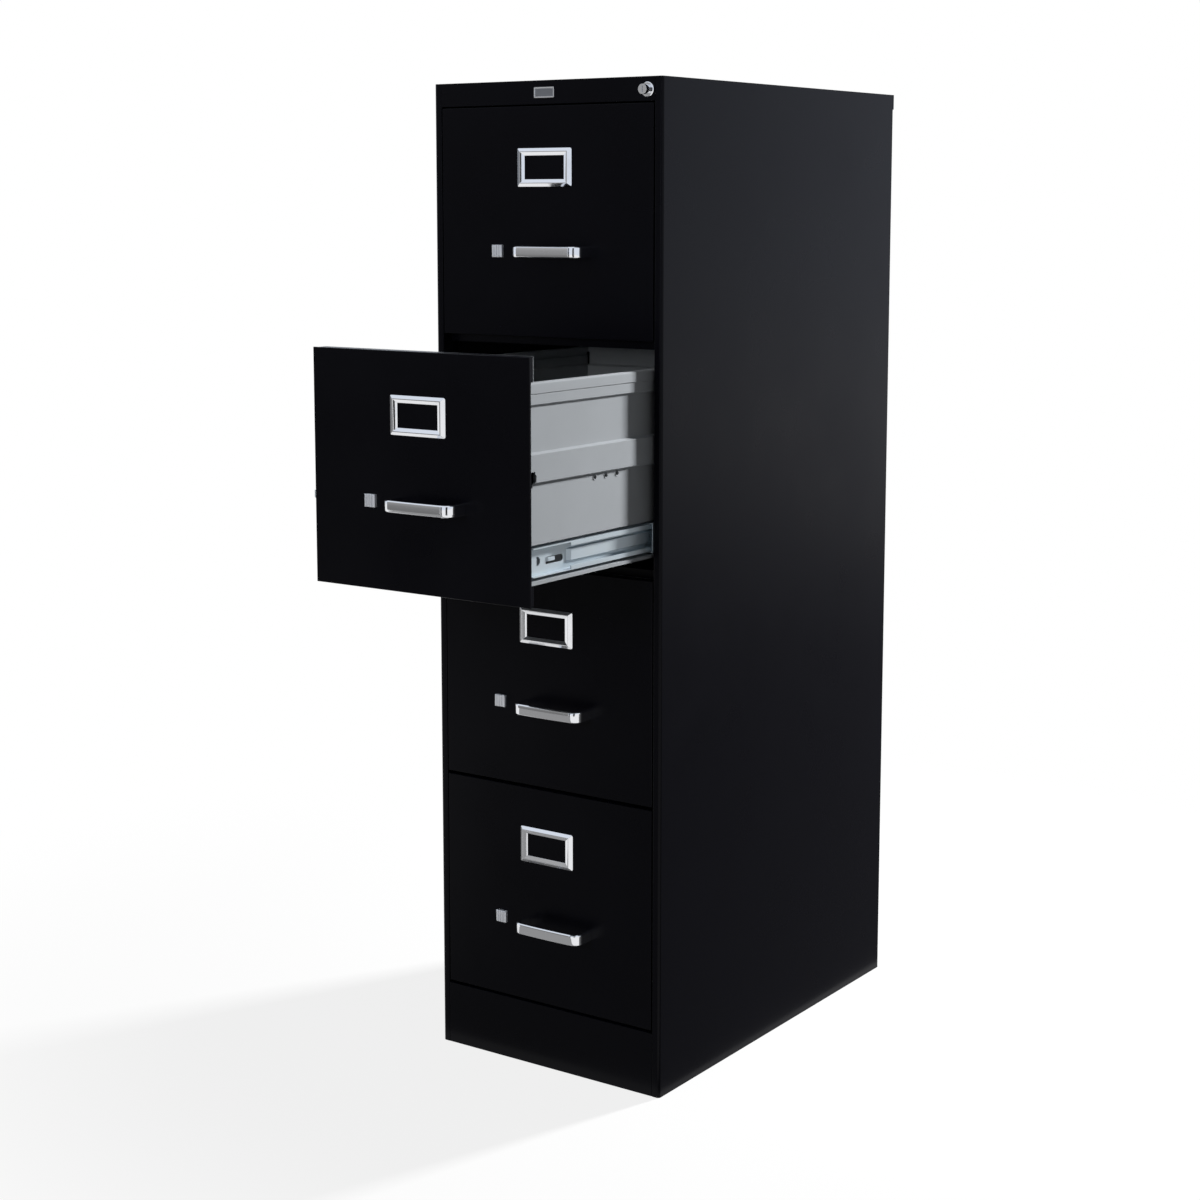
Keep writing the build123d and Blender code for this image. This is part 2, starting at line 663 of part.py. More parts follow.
for n in drawers:
    low = front_bottom(n)
    high = low + front_height
    face = drawer_face(n)
    middle = (low + high) / 2
    handle_z = low + handle_rise
    axis = slide_axis(n)

    # Front: a pan whose hem shows, with folded flanges behind it
    flange_half = flat_half_width - drawer_sheet - end_gap
    with BuildPart() as drawer_front:
        with BuildSketch(across(face)):
            with Locations((0, middle)):
                Rectangle(2 * front_half_width, front_height)
        extrude(amount=-front_hem)
        chamfer(drawer_front.faces().sort_by(Axis.Y)[0].edges(), front_sheet / 2)
        with BuildSketch(across(face + front_sheet)):
            with Locations((0, middle)):
                Rectangle(2 * (front_half_width - front_sheet), front_height - 2 * front_sheet)
        extrude(amount=-front_hem, mode=Mode.SUBTRACT)
        with BuildSketch(across(face + front_sheet)):
            with Locations((0, middle)):
                Rectangle(2 * flange_half, front_height)
                Rectangle(
                    2 * (flange_half - front_sheet), front_height - 2 * front_sheet, mode=Mode.SUBTRACT
                )
            # Openings where the body's ledge and recess and its rim reach in
            for cut_low, cut_high in (
                (body_bottom, slide_height + recess_above + drawer_sheet), (rim_low, body_top),
            ):
                with Locations((0, low + (cut_low + cut_high) / 2)):
                    Rectangle(
                        2 * front_half_width, cut_high - cut_low + 2 * end_gap, mode=Mode.SUBTRACT
                    )
        extrude(amount=-(front_flange - front_sheet))
        # Slot for the thumb latch's neck
        with BuildSketch(across(face)):
            with Locations((latch_neck_x + latch_travel / 2, handle_z)):
                Rectangle(
                    latch_neck[0] + latch_travel + 2 * latch_slot_gap,
                    latch_neck[1] + 2 * latch_slot_gap,
                )
        extrude(amount=-front_hem, mode=Mode.SUBTRACT)
        # Slot for the bolt in the left flange
        with BuildSketch(Plane.YZ.offset(-flange_half - cut_over)):
            with Locations((face + latch_bar_front + latch_bar_sheet / 2, handle_z)):
                Rectangle(latch_bar_sheet + 2 * latch_hole_gap, 2 * (latch_bar_half + latch_hole_gap))
        extrude(amount=front_sheet + 2 * cut_over, mode=Mode.SUBTRACT)
    save(drawer_front.part, f"drawer_front_{n}")

    # Inner front: closes the pan from behind, cut around the body's rim
    rim_inner = body_half_width - rim_width - end_gap
    over_rim = low + body_top + end_gap
    with BuildPart() as drawer_inner_front:
        with BuildSketch(across(face + front_flange)):
            Polygon(
                *both_halves(
                    end_outline(low)
                    + [(rim_inner, over_rim), (flange_half, over_rim), (flange_half, high)]
                ),
                align=None,
            )
        extrude(amount=-drawer_sheet)
    save(drawer_inner_front.part, f"drawer_inner_front_{n}")

    # Body: sides and bottom folded from one sheet, stepped in for the slides, with a pressed band
    with BuildPart() as drawer_body:
        half = body_outline(low)
        outer = [(-x, z) for x, z in reversed(half)] + half
        inner = beside(outer, drawer_sheet)
        with BuildSketch(across(face + body_front)):
            with BuildLine() as section:
                for line, bend in ((outer, rim_radius), (inner, rim_radius - drawer_sheet)):
                    bends = [bend, bend] + [0] * (len(line) - 6) + [bend, bend]
                    FilletPolyline(*line, radius=bends)
                Line(outer[0], inner[0])
                Line(outer[-1], inner[-1])
            make_face(section.edges())
        extrude(amount=-(body_back - body_front))
        # Notch in the right side's front edge, with a strike for the lock's lug behind it
        with BuildSketch(Plane.YZ.offset(recess_half_width)):
            with Locations((
                face + (body_front + notch_back) / 2, low + notch_middle,
            )):
                Rectangle(notch_back - body_front, notch_height)
        extrude(amount=recess_depth, mode=Mode.SUBTRACT)
        with BuildSketch(Plane.YZ.offset(body_half_width - drawer_sheet)):
            with Locations((
                face + notch_back + drawer_sheet / 2, low + lug_low + bar_lift + lug_height / 2,
            )):
                Rectangle(drawer_sheet, lug_height)
        extrude(amount=drawer_sheet + strike_out)
        # Slot for the bolt's nose in the left side
        with BuildSketch(Plane.YZ.offset(-flat_half_width - cut_over)):
            with Locations((face + latch_bar_front + latch_bar_sheet / 2, handle_z)):
                Rectangle(latch_bar_sheet + 2 * latch_hole_gap, 2 * (latch_bar_half + latch_hole_gap))
        extrude(amount=drawer_sheet + 2 * cut_over, mode=Mode.SUBTRACT)
        # Slots through both sides, behind those in the slides
        with BuildSketch(Plane.YZ.offset(-recess_half_width - cut_over)):
            for back, (length, height), rise in (
                (drawer_slide_start + front_slot_back, front_slot, 0.0),
                (long_slot_back, long_slot, long_slot_rise),
            ):
                with Locations((face + back + length / 2, axis + rise)):
                    Rectangle(length + 2 * slot_clearance, height + 2 * slot_clearance)
        extrude(amount=2 * (recess_half_width + cut_over), mode=Mode.SUBTRACT)
        # Row of square holes for a folder frame under the band
        with BuildSketch(Plane.YZ.offset(recess_half_width)):
            with Locations(*[
                (face + hole_first + k * hole_spacing, low + band_low - hole_drop)
                for k in range(hole_count)
            ]):
                Rectangle(hole_size, hole_size)
        extrude(amount=recess_depth, mode=Mode.SUBTRACT)
    save(drawer_body.part, f"drawer_body_{n}")

    # Back: set back along its top as the sides are, folded forward there, with a lip down
    top = low + body_top
    rear = face + body_back
    with BuildPart() as drawer_back:
        with BuildSketch(Plane.YZ.offset(-flat_half_width)):
            folded(
                [
                    (rear - band_depth, low + body_bottom),
                    (rear - band_depth, low + rim_low),
                    (rear, low + rim_low + band_slope),
                    (rear, top),
                    (rear - end_flange, top),
                    (rear - end_flange, top - rim_lip),
                ],
                drawer_sheet,
                side=Side.LEFT,
            )
        extrude(amount=2 * flat_half_width)
        with BuildSketch(across(rear)):
            Polygon(*both_halves(end_outline(low) + [(rim_inner, top)]), align=None)
        extrude(amount=2 * end_flange, mode=Mode.INTERSECT)
    save(drawer_back.part, f"drawer_back_{n}")

    # The drawer's own slide members: web on the drawer, edges curled towards each other
    slide_outer = recess_half_width + drawer_slide_depth
    with BuildPart() as drawer_slides:
        with BuildSketch(across(face + drawer_slide_start)):
            with Locations((recess_half_width + slide_sheet / 2, axis)):
                Rectangle(slide_sheet, 2 * drawer_slide_half)
            for sign in (1, -1):
                with Locations((
                    recess_half_width + drawer_slide_depth / 2,
                    axis + sign * (drawer_slide_half - slide_sheet / 2),
                )):
                    Rectangle(drawer_slide_depth, slide_sheet)
            mirror(about=Plane.YZ)
        extrude(amount=-(body_back - drawer_slide_start))
        with BuildSketch(across(face + drawer_slide_start + drawer_slide_plain)):
            for sign in (1, -1):
                with Locations((
                    slide_outer - slide_sheet / 2,
                    axis + sign * (drawer_slide_half - drawer_slide_curl / 2),
                )):
                    Rectangle(slide_sheet, drawer_slide_curl)
            mirror(about=Plane.YZ)
        extrude(amount=-(body_back - drawer_slide_start - drawer_slide_plain))
        with BuildSketch(Plane.YZ.offset(-slide_outer - cut_over)):
            with Locations((face + drawer_slide_start + front_slot_back + front_slot[0] / 2, axis)):
                Rectangle(*front_slot)
            # A slot with one square and one round end
            with Locations((
                face + long_slot_back + (long_slot[0] - long_slot[1] / 2) / 2, axis + long_slot_rise,
            )):
                Rectangle(long_slot[0] - long_slot[1] / 2, long_slot[1])
            with Locations((
                face + long_slot_back + long_slot[0] - long_slot[1] / 2, axis + long_slot_rise,
            )):
                Circle(long_slot[1] / 2)
        extrude(amount=2 * (slide_outer + cut_over), mode=Mode.SUBTRACT)
    save(drawer_slides.part, f"drawer_slides_{n}")

    # Middle slide members, around the drawer's and inside the fixed ones
    middle_web = slide_outer + middle_slide_web_gap + slide_sheet
    middle_start = front_y + middle_slide_start - open_at_rest(n) / 2
    with BuildPart() as middle_slides:
        with BuildSketch(across(middle_start)):
            place_channel(middle_web, middle_slide_flange, middle_half, slide_sheet, axis)
            mirror(about=Plane.YZ)
        extrude(amount=-middle_slide_length)
    save(middle_slides.part, f"middle_slides_{n}")

    # Handle: a flat strip bowed out from two feet
    with BuildPart() as handle:
        with BuildSketch(Plane.XY.offset(handle_z - handle_height / 2)) as bow:
            with Locations((handle_offset, face - handle_reach / 2)):
                Rectangle(handle_length, handle_reach)
            fillet(bow.vertices().group_by(Axis.Y)[0], handle_corner)
        extrude(amount=handle_height)
        rim_edges = handle.faces().filter_by(Axis.Z).edges()
        chamfer(rim_edges.filter_by(lambda e: e.center().Y < face - handle_edge), handle_edge)
        with BuildSketch(Plane.XY.offset(handle_z - handle_height / 2)) as grip:
            with Locations((handle_offset, face - (handle_reach - handle_thickness) / 2)):
                Rectangle(handle_length - 2 * handle_thickness, handle_reach - handle_thickness)
            fillet(grip.vertices().group_by(Axis.Y)[0], handle_corner - handle_thickness)
        extrude(amount=handle_height, mode=Mode.SUBTRACT)
    save(handle.part, f"handle_{n}")

    # Label holder: a frame that rises to a ridge, with a pocket for a card behind its window
    label_z = high - label_drop
    crest_outside, crest_inside = [
        [size + sign * 2 * label_ridge_half for size in label_ridge] for sign in (1, -1)
    ]
    with BuildPart() as label_holder:
        with BuildSketch(across(face)):
            with Locations((0, label_z)):
                Rectangle(*label_size)
        extrude(amount=label_rim)
        taper(label_size, crest_outside, face - label_rim, face - label_depth, label_z)
        taper(
            crest_inside, label_window, face - label_depth, face - label_lip, label_z, Mode.SUBTRACT
        )
        with BuildSketch(across(face)):
            with Locations((0, label_z)):
                RectangleRounded(*label_size, radius=label_corner)
        extrude(amount=label_depth, mode=Mode.INTERSECT)
        with BuildSketch(across(face)):
            with Locations((0, label_z)):
                Rectangle(*label_window)
        extrude(amount=label_depth, mode=Mode.SUBTRACT)
        with BuildSketch(across(face)):
            with Locations((0, label_z)):
                Rectangle(*card_pocket)
        extrude(amount=card_pocket_depth, mode=Mode.SUBTRACT)
    save(label_holder.part, f"label_holder_{n}")

    # Thumb latch: a grooved button on a neck that runs in the front's slot
    with BuildPart() as thumb_latch:
        with BuildSketch(across(face - latch_head_gap)):
            with Locations((latch_offset, handle_z)):
                Rectangle(*latch_head)
        extrude(amount=latch_head_depth)
        chamfer(thumb_latch.faces().sort_by(Axis.Y)[0].edges(), latch_edge)
        with BuildSketch(Plane.XY.offset(handle_z - latch_head[1] / 2)):
            with Locations(*[
                (latch_offset + k * latch_head[0] / 4, face - latch_head_gap - latch_head_depth)
                for k in (-1, 0, 1)
            ]):
                Rectangle(latch_groove, 2 * latch_groove)
        extrude(amount=latch_head[1], mode=Mode.SUBTRACT)
        with BuildSketch(across(face - latch_head_gap)):
            with Locations((latch_neck_x, handle_z)):
                Rectangle(*latch_neck)
        extrude(amount=-(latch_head_gap + latch_bar_front))
    save(thumb_latch.part, f"thumb_latch_{n}")

    # Bolt: a flat bar from the button to the left stile
    with BuildPart() as latch_bar:
        with BuildSketch(across(face + latch_bar_front)):
            with Locations(((bar_nose_x + bar_right_x) / 2, handle_z)):
                Rectangle(bar_right_x - bar_nose_x, 2 * latch_bar_half)
        extrude(amount=-latch_bar_sheet)
        # Ramp on the nose's rear corner, for closing
        nose = latch_bar.edges().filter_by(Axis.Z).group_by(Axis.X)[0].sort_by(Axis.Y)[-1]
        chamfer(nose, 0.8 * latch_bar_sheet)
    save(latch_bar.part, f"latch_bar_{n}")

    # Leaf spring between the pan and the bolt's right end
    spring_x = bar_right_x + spring_gap + spring_sheet
    foot_x = spring_x + spring_reach
    with BuildPart() as latch_spring:
        with BuildSketch(Plane.XY.offset(handle_z - spring_half)):
            folded(
                [
                    (spring_x, face + latch_bar_front + latch_bar_sheet),
                    (spring_x, face + latch_bar_front),
                    (foot_x, face + front_sheet + spring_sheet),
                    (foot_x + spring_foot, face + front_sheet + spring_sheet),
                ],
                spring_sheet,
                side=Side.RIGHT,
            )
        extrude(amount=2 * spring_half)
    save(latch_spring.part, f"latch_spring_{n}")
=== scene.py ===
"""Looks of a four-drawer vertical filing cabinet.

Black powder-coated case and drawer fronts, grey enamelled drawer bodies, zinc-plated slides, and
chromed handles, label holders, thumb latches and lock. The second drawer stands open.
"""

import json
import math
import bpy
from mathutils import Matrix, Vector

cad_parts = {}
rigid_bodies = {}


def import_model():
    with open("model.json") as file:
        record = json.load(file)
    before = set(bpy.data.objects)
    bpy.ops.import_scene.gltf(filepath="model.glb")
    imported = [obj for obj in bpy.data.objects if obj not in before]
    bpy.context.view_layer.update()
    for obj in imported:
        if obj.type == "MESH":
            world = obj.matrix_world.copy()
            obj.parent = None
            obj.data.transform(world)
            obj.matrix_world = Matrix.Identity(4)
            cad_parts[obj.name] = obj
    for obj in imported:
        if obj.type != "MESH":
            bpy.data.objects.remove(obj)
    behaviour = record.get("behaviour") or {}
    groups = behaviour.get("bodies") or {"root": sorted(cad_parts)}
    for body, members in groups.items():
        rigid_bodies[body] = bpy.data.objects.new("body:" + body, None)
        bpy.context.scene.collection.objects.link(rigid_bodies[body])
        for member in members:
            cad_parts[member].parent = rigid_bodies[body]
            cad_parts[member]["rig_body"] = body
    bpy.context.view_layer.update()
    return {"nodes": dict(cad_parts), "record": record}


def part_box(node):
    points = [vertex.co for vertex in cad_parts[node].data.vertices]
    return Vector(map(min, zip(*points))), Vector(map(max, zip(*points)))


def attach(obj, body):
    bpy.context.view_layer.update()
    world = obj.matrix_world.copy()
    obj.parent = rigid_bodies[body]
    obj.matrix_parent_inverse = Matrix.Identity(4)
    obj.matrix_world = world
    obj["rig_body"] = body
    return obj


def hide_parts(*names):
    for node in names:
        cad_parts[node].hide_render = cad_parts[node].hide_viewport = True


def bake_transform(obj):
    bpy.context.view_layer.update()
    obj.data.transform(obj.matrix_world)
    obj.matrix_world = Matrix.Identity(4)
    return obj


bl_info = {
    "name": "Vertical Filing Cabinet",
    "version": (1, 0, 0),
    "blender": (4, 5, 0),
    "location": "View3D > Sidebar > Cabinet",
    "description": "Finishes, edges, fasteners and stage of a four-drawer filing cabinet",
    "category": "Object",
}

import bmesh
import bpy
from bpy.props import FloatProperty, FloatVectorProperty, PointerProperty
from mathutils import Vector

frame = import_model()
nodes = frame["nodes"]
slots = {part["node"]: part["material_slot"] for part in frame["record"]["subparts"]}
drawers = (1, 2, 3, 4)


# Colours and nodes


def linear(code):
    """An sRGB hex colour as the linear red, green, blue and alpha that a socket takes."""
    levels = [int(code[k:k + 2], 16) / 255 for k in (1, 3, 5)]
    return [v / 12.92 if v <= 0.04045 else ((v + 0.055) / 1.055) ** 2.4 for v in levels] + [1.0]


def add(tree, kind, inputs=None, **settings):
    """Adds a node. An input is a plain value, or a (node, output) pair that it is linked from.

    Inputs go by name, or by number where several of a node's inputs share a name.
    """
    node = tree.nodes.new(kind)
    for name, value in settings.items():
        setattr(node, name, value)
    for key, value in (inputs or {}).items():
        if isinstance(value, tuple) and isinstance(value[0], bpy.types.Node):
            tree.links.new(value[0].outputs[value[1]], node.inputs[key])
        else:
            node.inputs[key].default_value = value
    return node


def new_material(name):
    """A material with an empty node tree, and that tree."""
    made = bpy.data.materials.new(name)
    made.use_nodes = True
    made.node_tree.nodes.clear()
    return made, made.node_tree


def surfaced(tree, **inputs):
    """Ends a material with one principled surface. Its inputs go by name, with _ for a space."""
    named = {name.replace("_", " "): value for name, value in inputs.items()}
    surface = add(tree, "ShaderNodeBsdfPrincipled", named)
    add(tree, "ShaderNodeOutputMaterial", {"Surface": (surface, "BSDF")})


# Sizes and colours that a user would change


class CabinetFinishes(bpy.types.PropertyGroup):
    """Colours of the finishes"""

    coat: FloatVectorProperty(
        name="Powder Coat", description="Colour of the case and the drawer fronts",
        subtype="COLOR", size=4, min=0, max=1, default=linear("#06060c"),
    )
    enamel: FloatVectorProperty(
        name="Enamel", description="Colour of the drawer bodies",
        subtype="COLOR", size=4, min=0, max=1, default=linear("#a3a7ab"),
    )
    zinc: FloatVectorProperty(
        name="Zinc", description="Colour of the slides' zinc plating",
        subtype="COLOR", size=4, min=0, max=1, default=linear("#cdd7da"),
    )
    chrome: FloatVectorProperty(
        name="Chrome", description="Colour of the handles, label holders, latches and lock",
        subtype="COLOR", size=4, min=0, max=1, default=linear("#e6e7ea"),
    )
    spring: FloatVectorProperty(
        name="Spring Steel", description="Colour of the latch springs",
        subtype="COLOR", size=4, min=0, max=1, default=linear("#8b8d92"),
    )


class CabinetEdges(bpy.types.PropertyGroup):
    """Widths of rounded and broken edges"""

    case: FloatProperty(
        name="Case Edges", description="Width of the rounded edges of the painted case and fronts",
        subtype="DISTANCE", unit="LENGTH", default=0.0004, min=0.0001, max=0.001,
    )
    sheet: FloatProperty(
        name="Sheet Edges", description="Width of the broken edges of the drawer bodies and slides",
        subtype="DISTANCE", unit="LENGTH", default=0.0002, min=0.0001, max=0.0004,
    )
    handle: FloatProperty(
        name="Handle Edges", description="Width of the rounding beside the handles' chamfers",
        subtype="DISTANCE", unit="LENGTH", default=0.0008, min=0.0001, max=0.0009,
    )
    trim: FloatProperty(
        name="Trim Edges", description="Width of the polished edges of the chromed pieces",
        subtype="DISTANCE", unit="LENGTH", default=0.0005, min=0.0001, max=0.001,
    )


class CabinetHandles(bpy.types.PropertyGroup):
    """Curves of the handles' grips"""

    crown: FloatProperty(
        name="Crown", description="How far the grip's upper and lower edges fall back from its middle",
        subtype="DISTANCE", unit="LENGTH", default=0.0009, min=0, max=0.0015,
    )
    bow: FloatProperty(
        name="Bow", description="How far the grip's ends fall back from its middle",
        subtype="DISTANCE", unit="LENGTH", default=0.0016, min=0, max=0.004,
    )


class CabinetPressings(bpy.types.PropertyGroup):
    """Small forms pressed into the drawers and slides"""

    lance: FloatProperty(
        name="Lance", description="Length of the tab that is pressed out of a slide's long slot",
        subtype="DISTANCE", unit="LENGTH", default=0.016, min=0.005, max=0.024,
    )
    dimple: FloatProperty(
        name="Dimple", description="Radius of the raised ring round a folder-frame hole",
        subtype="DISTANCE", unit="LENGTH", default=0.0034, min=0.003, max=0.0038,
    )
    dimple_height: FloatProperty(
        name="Dimple Height", description="How far the ring stands out of the drawer's side",
        subtype="DISTANCE", unit="LENGTH", default=0.0006, min=0.0002, max=0.001,
    )


class CabinetRivets(bpy.types.PropertyGroup):
    """Rivets in the back"""

    radius: FloatProperty(
        name="Head Radius", description="Radius of a rivet's head",
        subtype="DISTANCE", unit="LENGTH", default=0.0032, min=0.001, max=0.006,
    )
    height: FloatProperty(
        name="Head Height", description="How far a rivet's head stands out",
        subtype="DISTANCE", unit="LENGTH", default=0.001, min=0.0003, max=0.0015,
    )
    spacing: FloatProperty(
        name="Spacing", description="Distance between rivets along the back panel's seams",
        subtype="DISTANCE", unit="LENGTH", default=0.14, min=0.03, max=0.3,
    )


class CabinetStage(bpy.types.PropertyGroup):
    """Light round the cabinet"""

    fill: FloatProperty(
        name="Fill", description="Strength of the even light from all round",
        default=0.048, min=0, max=2,
    )
    lift: FloatProperty(
        name="Floor Lift", description="White that the floor near the cabinet adds to what it reflects",
        default=0.84, min=0, max=1,
    )
    card: FloatProperty(
        name="Card", description="Brightness of the grey cards that reflections see",
        default=0.25, min=0, max=1,
    )
    key: FloatProperty(
        name="Key", description="Power of the lamp at the right rear",
        subtype="POWER", default=465.0, min=0, max=1000,
    )


# Finishes


def spots(tree, size, detail, **more):
    """Noise in the object's own space, with a size from one spot to the next."""
    place = add(tree, "ShaderNodeTexCoord")
    return add(tree, "ShaderNodeTexNoise", {
        "Vector": (place, "Object"), "Scale": 1 / size, "Detail": detail, **more,
    })


def streaks(tree, scale):
    """Noise drawn out into lines, with its scale along x, y and z in the object's own space."""
    place = add(tree, "ShaderNodeTexCoord")
    drawn = add(tree, "ShaderNodeMapping", {"Vector": (place, "Object"), "Scale": scale})
    return add(tree, "ShaderNodeTexNoise", {"Vector": (drawn, "Vector"), "Scale": 1.0, "Detail": 2.0})


def spread(tree, noise, least, most, start=0.3, end=0.7):
    """Roughness from least to most, as a noise goes from start to end."""
    return add(tree, "ShaderNodeMapRange", {
        "Value": (noise, "Fac"), "From Min": start, "From Max": end, "To Min": least, "To Max": most,
    }), "Result"


def relief(tree, noise, strength, depth):
    """Bumps as deep as a noise draws them."""
    return add(tree, "ShaderNodeBump", {
        "Height": (noise, "Fac"), "Strength": strength, "Distance": depth,
    }), "Normal"


def shaded(tree, noise, one, other):
    """A colour that drifts between two as a noise does."""
    return add(tree, "ShaderNodeMix", {0: (noise, "Fac"), 6: one, 7: other}, data_type="RGBA"), 2


def powder_coat(colour):
    """Black polyester powder coat baked on steel: satin, nearly black, with a fine orange peel."""
    made, tree = new_material("black_powder_coat")
    # Orange peel, about 2 mm from crest to crest
    peel = spots(tree, 0.002, 1.5, Roughness=0.4)
    # Slow change of gloss over a hand's width
    cloud = spots(tree, 0.12, 2.0)
    surfaced(tree, Base_Color=colour, Roughness=spread(tree, cloud, 0.26, 0.34),
             Normal=relief(tree, peel, 0.05, 0.0002), IOR=1.5, Specular_IOR_Level=0.085)
    return made


def enamel(colour):
    """Light grey baked enamel on drawn sheet: smooth, low sheen, a trace of unevenness."""
    made, tree = new_material("light_grey_enamel")
    # A shade darker and lighter in spots 6 cm apart
    cloud = spots(tree, 0.06, 3.0)
    darker, lighter = ([min(1, part * level) for part in colour[:3]] + [1.0] for level in (0.94, 1.05))
    # Fine peel, 2.5 mm from crest to crest
    peel = spots(tree, 0.0025, 1.0)
    surfaced(tree, Base_Color=shaded(tree, cloud, darker, lighter), Roughness=0.45,
             Normal=relief(tree, peel, 0.08, 0.0002), IOR=1.5, Specular_IOR_Level=0.1)
    return made


def zinc_plate(colour):
    """Bright zinc plating with a blue-white passivation over cold-rolled strip."""
    made, tree = new_material("blue_white_zinc")
    # Rolling lines along the strip, 0.5 mm apart, drawn coarser than the real ones so that they show
    lines = streaks(tree, (2000, 15, 2000))
    # The passivation's tint drifts over a few centimetres
    drift = spots(tree, 0.035, 2.0)
    bluer = [colour[0] * 0.9, colour[1] * 0.93, colour[2], 1.0]
    surfaced(tree, Base_Color=shaded(tree, drift, colour, bluer), Metallic=0.4,
             Roughness=spread(tree, lines, 0.28, 0.42), Normal=relief(tree, lines, 0.04, 0.0001))
    return made


def chrome_plate(colour):
    """Decorative chrome over polished zinc die casting: a mirror with faint polishing waves."""
    made, tree = new_material("polished_chrome")
    # Polishing waves 6 mm long, and a gloss that drifts over 15 mm as fingers leave it
    waves = spots(tree, 0.006, 1.0)
    smear = spots(tree, 0.015, 3.0)
    surfaced(tree, Base_Color=colour, Metallic=1.0, Roughness=spread(tree, smear, 0.05, 0.12, start=0.35),
             Normal=relief(tree, waves, 0.03, 0.0002))
    return made


def spring_steel(colour):
    """Hardened spring strip, rolled to a dull grey with a fine uneven grain."""
    made, tree = new_material("spring_steel_strip")
    grain = spots(tree, 0.001, 2.0)
    surfaced(tree, Base_Color=colour, Metallic=1.0, Roughness=spread(tree, grain, 0.3, 0.5, 0, 1))
    return made


def satin_chrome(colour):
    """Chrome over a blasted die casting: it blurs what it mirrors, with upright polishing lines."""
    made, tree = new_material("satin_chrome")
    # Lines 0.6 mm apart, coarser than the real ones so that they show
    lines = streaks(tree, (1700, 1700, 40))
    surfaced(tree, Base_Color=colour, Metallic=1.0, Roughness=spread(tree, lines, 0.5, 0.62),
             Normal=relief(tree, lines, 0.1, 0.0002))
    return made


# Each slot's material and the colour that it takes. Satin is a look, not a slot.
makers = {
    "case_black": (powder_coat, "coat"),
    "drawer_grey": (enamel, "enamel"),
    "zinc": (zinc_plate, "zinc"),
    "bright": (chrome_plate, "chrome"),
    "spring_steel": (spring_steel, "spring"),
    "satin": (satin_chrome, "chrome"),
}
finishes = {}


def finish(slot):
    """The material of a slot, made once."""
    if slot not in finishes:
        maker, colour = makers[slot]
        finishes[slot] = maker(list(getattr(bpy.context.scene.cabinet_finishes, colour)))
    return finishes[slot]


# Shapes

weld = 2e-6  # points of the solids' facets that lie nearer than this are one
one_plane = math.radians(0.5)  # facets that meet at less than this are one face
crease = math.radians(28)  # edges sharper than this are rounded, the others are smooth bends
hair = 1e-6  # how near a point must lie to a cutting plane to be on it


def link(name, mesh):
    """A new object at the origin that shows a mesh."""
    made = bpy.data.objects.new(name, mesh)
    bpy.context.scene.collection.objects.link(made)
    return made


def settle(piece):
    """Turns a piece's modifiers into plain mesh."""
    bpy.context.view_layer.update()
    seen = piece.evaluated_get(bpy.context.evaluated_depsgraph_get())
    mesh = bpy.data.meshes.new_from_object(seen)
    piece.modifiers.clear()
    old, piece.data = piece.data, mesh
    mesh.name = piece.name
    bpy.data.meshes.remove(old)


def merged(shape):
    """Merges the facets of a mesh that lie in one plane."""
    bmesh.ops.dissolve_limit(shape, angle_limit=one_plane, verts=shape.verts, edges=shape.edges)


def split(shape, place, across):
    """Cuts a mesh along the plane through a place, square to a direction, and keeps both halves."""
    bmesh.ops.bisect_plane(
        shape, geom=shape.verts[:] + shape.edges[:] + shape.faces[:], dist=hair,
        plane_co=place, plane_no=across,
    )


def dressed(node, width, segments=2, form=None, cutter=None, look=None, bends=None):
    """Shows a CAD node as a copy with merged facets, rounded edges and smooth bends.

    A form is a function that reshapes the copy before its edges are rounded, a cutter is a mesh
    that is cut out of it, and a look is its finish where that isn't its slot's own. Bends names
    the two bodies and the points of a bend, which are not used: with bends the copy is only fixed
    in place and rides on no body. Without bends it rides on its node's body.
    """
    shape = bmesh.new()
    shape.from_mesh(nodes[node].data)
    bmesh.ops.remove_doubles(shape, verts=shape.verts, dist=weld)
    merged(shape)
    if form:
        form(shape)
    mesh = bpy.data.meshes.new(f"{node}_dressed")
    shape.to_mesh(mesh)
    shape.free()
    for name in ("custom_normal", "sharp_edge", "sharp_face"):
        if name in mesh.attributes:
            mesh.attributes.remove(mesh.attributes[name])
    piece = link(mesh.name, mesh)
    if cutter:
        tool = link("cutter", cutter)
        cut = piece.modifiers.new("cut", "BOOLEAN")
        cut.operation = "DIFFERENCE"
        cut.object = tool
        settle(piece)
        bpy.data.objects.remove(tool)
        bpy.data.meshes.remove(cutter)
    piece.data.shade_smooth()
    piece.data.set_sharp_from_angle(angle=crease)
    edges = piece.modifiers.new("edges", "BEVEL")
    edges.width = width
    edges.segments = segments
    edges.limit_method = "ANGLE"
    edges.angle_limit = crease
    edges.harden_normals = True
    settle(piece)
    piece.data.materials.clear()
    piece.data.materials.append(finish(look or slots[node]))
    if bends:
        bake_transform(piece)
    else:
        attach(piece, nodes[node]["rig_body"])
    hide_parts(node)
    return piece


# Pieces


class CABINET_OT_case(bpy.types.Operator):
    """Give the case's panels, rails and base their rounded edges and powder coat"""

    bl_idname = "cabinet.case"
    bl_label = "Case"

    def execute(self, context):
        edges = context.scene.cabinet_edges
        for node in ("side_panel_left", "side_panel_right", "top_panel", "front_header", "back_panel",
                     "cross_rails", "base_frame"):
            dressed(node, edges.case)
        return {"FINISHED"}


